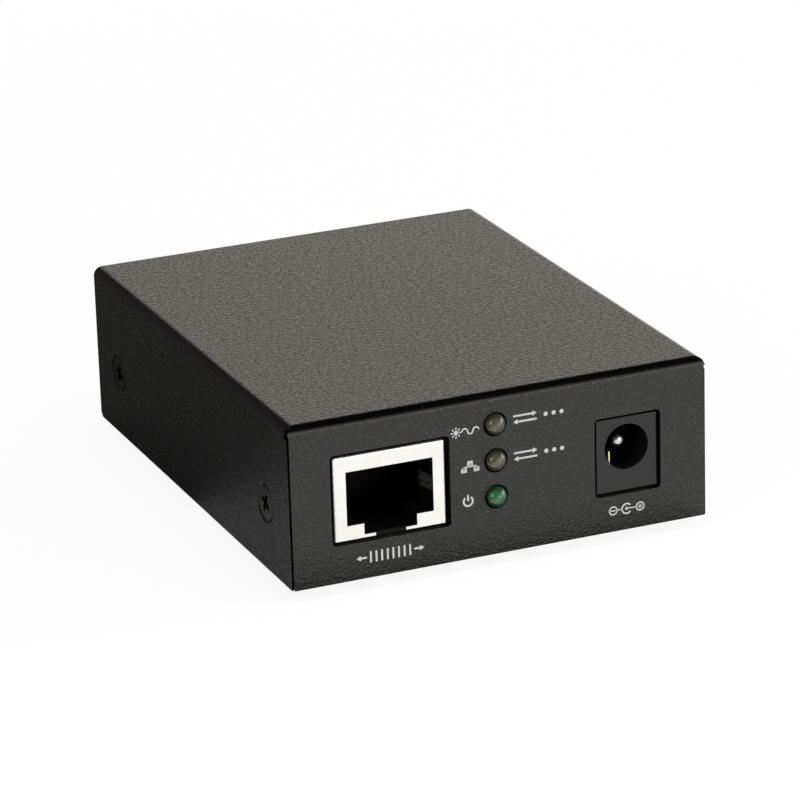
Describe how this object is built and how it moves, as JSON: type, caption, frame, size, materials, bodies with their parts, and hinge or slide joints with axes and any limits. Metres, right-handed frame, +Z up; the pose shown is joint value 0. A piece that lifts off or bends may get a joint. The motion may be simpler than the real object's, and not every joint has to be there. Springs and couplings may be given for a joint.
{
  "type": "fibre media converter",
  "caption": "Compact media converter in a folded black steel case, with a LAN socket, indicator lamps and a power socket in front and a transceiver slot at the rear.",
  "frame": {"origin": "on the ground under the middle of the body, at the level of the underside of the feet", "axes": "+X right along the front panel, +Y from the front panel to the rear panel, +Z up"},
  "size_m": [0.06, 0.077, 0.0243],
  "materials": {
    "cover_paint": "fine-textured black powder coat",
    "tray_paint": "fine-textured black powder coat",
    "black_screw": "black zinc",
    "foot_rubber": "matt",
    "bright_steel": "zinc plated",
    "board_laminate": "black solder mask",
    "shield_plate": "matt nickel plate",
    "black_moulding": "moulded, fine satin",
    "dc_moulding": "moulded, smooth satin",
    "contact_gold": "gold plated",
    "tin_plate": "tin plated",
    "smoke_lens": "clear resin, unlit",
    "green_lens": "tinted resin, unlit",
    "cage_steel": "nickel plated",
    "chip_epoxy": "moulded epoxy",
    "ferrite": "pressed powder",
    "can_aluminium": "drawn can"
  },
  "bodies": {
    "root": {"cover": "cover_paint", "base_tray": "tray_paint", "cover_screws": "black_screw", "foot_front_left": "foot_rubber", "foot_front_right": "foot_rubber", "foot_rear_left": "foot_rubber", "foot_rear_right": "foot_rubber", "board_standoffs": "bright_steel", "board_screws": "bright_steel", "main_board": "board_laminate", "lan_jack_shield": "shield_plate", "lan_jack_housing": "black_moulding", "led_holder": "black_moulding", "led_fibre": "smoke_lens", "led_lan": "smoke_lens", "led_power": "green_lens", "led_leads": "tin_plate", "dc_jack_housing": "dc_moulding", "dc_jack_pin": "bright_steel", "dc_pin_terminal": "tin_plate", "dc_jack_spring": "contact_gold", "dc_switch_terminal": "tin_plate", "sfp_cage_upper": "cage_steel", "sfp_cage_floor": "cage_steel", "sfp_spring_fingers": "cage_steel", "sfp_connector": "black_moulding", "sfp_connector_contacts": "contact_gold", "lan_transformer": "chip_epoxy", "transformer_pins": "tin_plate", "converter_chip": "chip_epoxy", "crystal": "bright_steel", "memory_chip": "chip_epoxy", "memory_pins": "tin_plate", "power_regulator": "chip_epoxy", "regulator_pins": "tin_plate", "power_inductor": "ferrite", "input_capacitor": "can_aluminium", "output_capacitor": "can_aluminium", "lan_contact_1": "contact_gold", "lan_contact_2": "contact_gold", "lan_contact_3": "contact_gold", "lan_contact_4": "contact_gold", "lan_contact_5": "contact_gold", "lan_contact_6": "contact_gold", "lan_contact_7": "contact_gold", "lan_contact_8": "contact_gold"}
  },
  "joints": []
}
